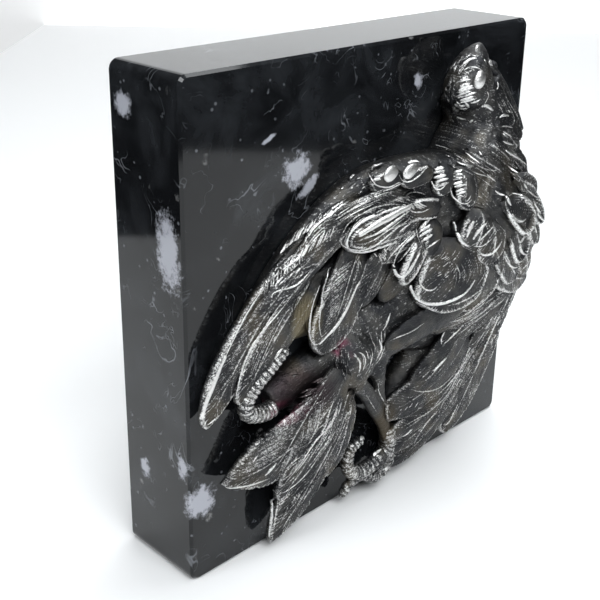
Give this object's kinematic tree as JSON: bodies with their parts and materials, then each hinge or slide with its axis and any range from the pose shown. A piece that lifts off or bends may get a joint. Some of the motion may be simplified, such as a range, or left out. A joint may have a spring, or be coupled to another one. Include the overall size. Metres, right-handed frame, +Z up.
{
  "type": "metal bird sculpture on a marble block",
  "caption": "Cast metal bird with spread wings, fanned tail and turned head, laid in relief on the face of an upright square block of polished black marble.",
  "frame": {"origin": "centre of the marble block's underside, on the surface it stands on", "axes": "+Z up, the bird on the face towards -Y, +X to the right as a person facing the bird sees it"},
  "size_m": [0.15, 0.0605, 0.15],
  "materials": {
    "stone": "black marble with white marks, polished",
    "silvered_metal": "silvered casting, bright where rubbed and dark in the hollows"
  },
  "bodies": {
    "root": {"marble_block": "stone", "bird_casting": "silvered_metal"}
  },
  "joints": []
}
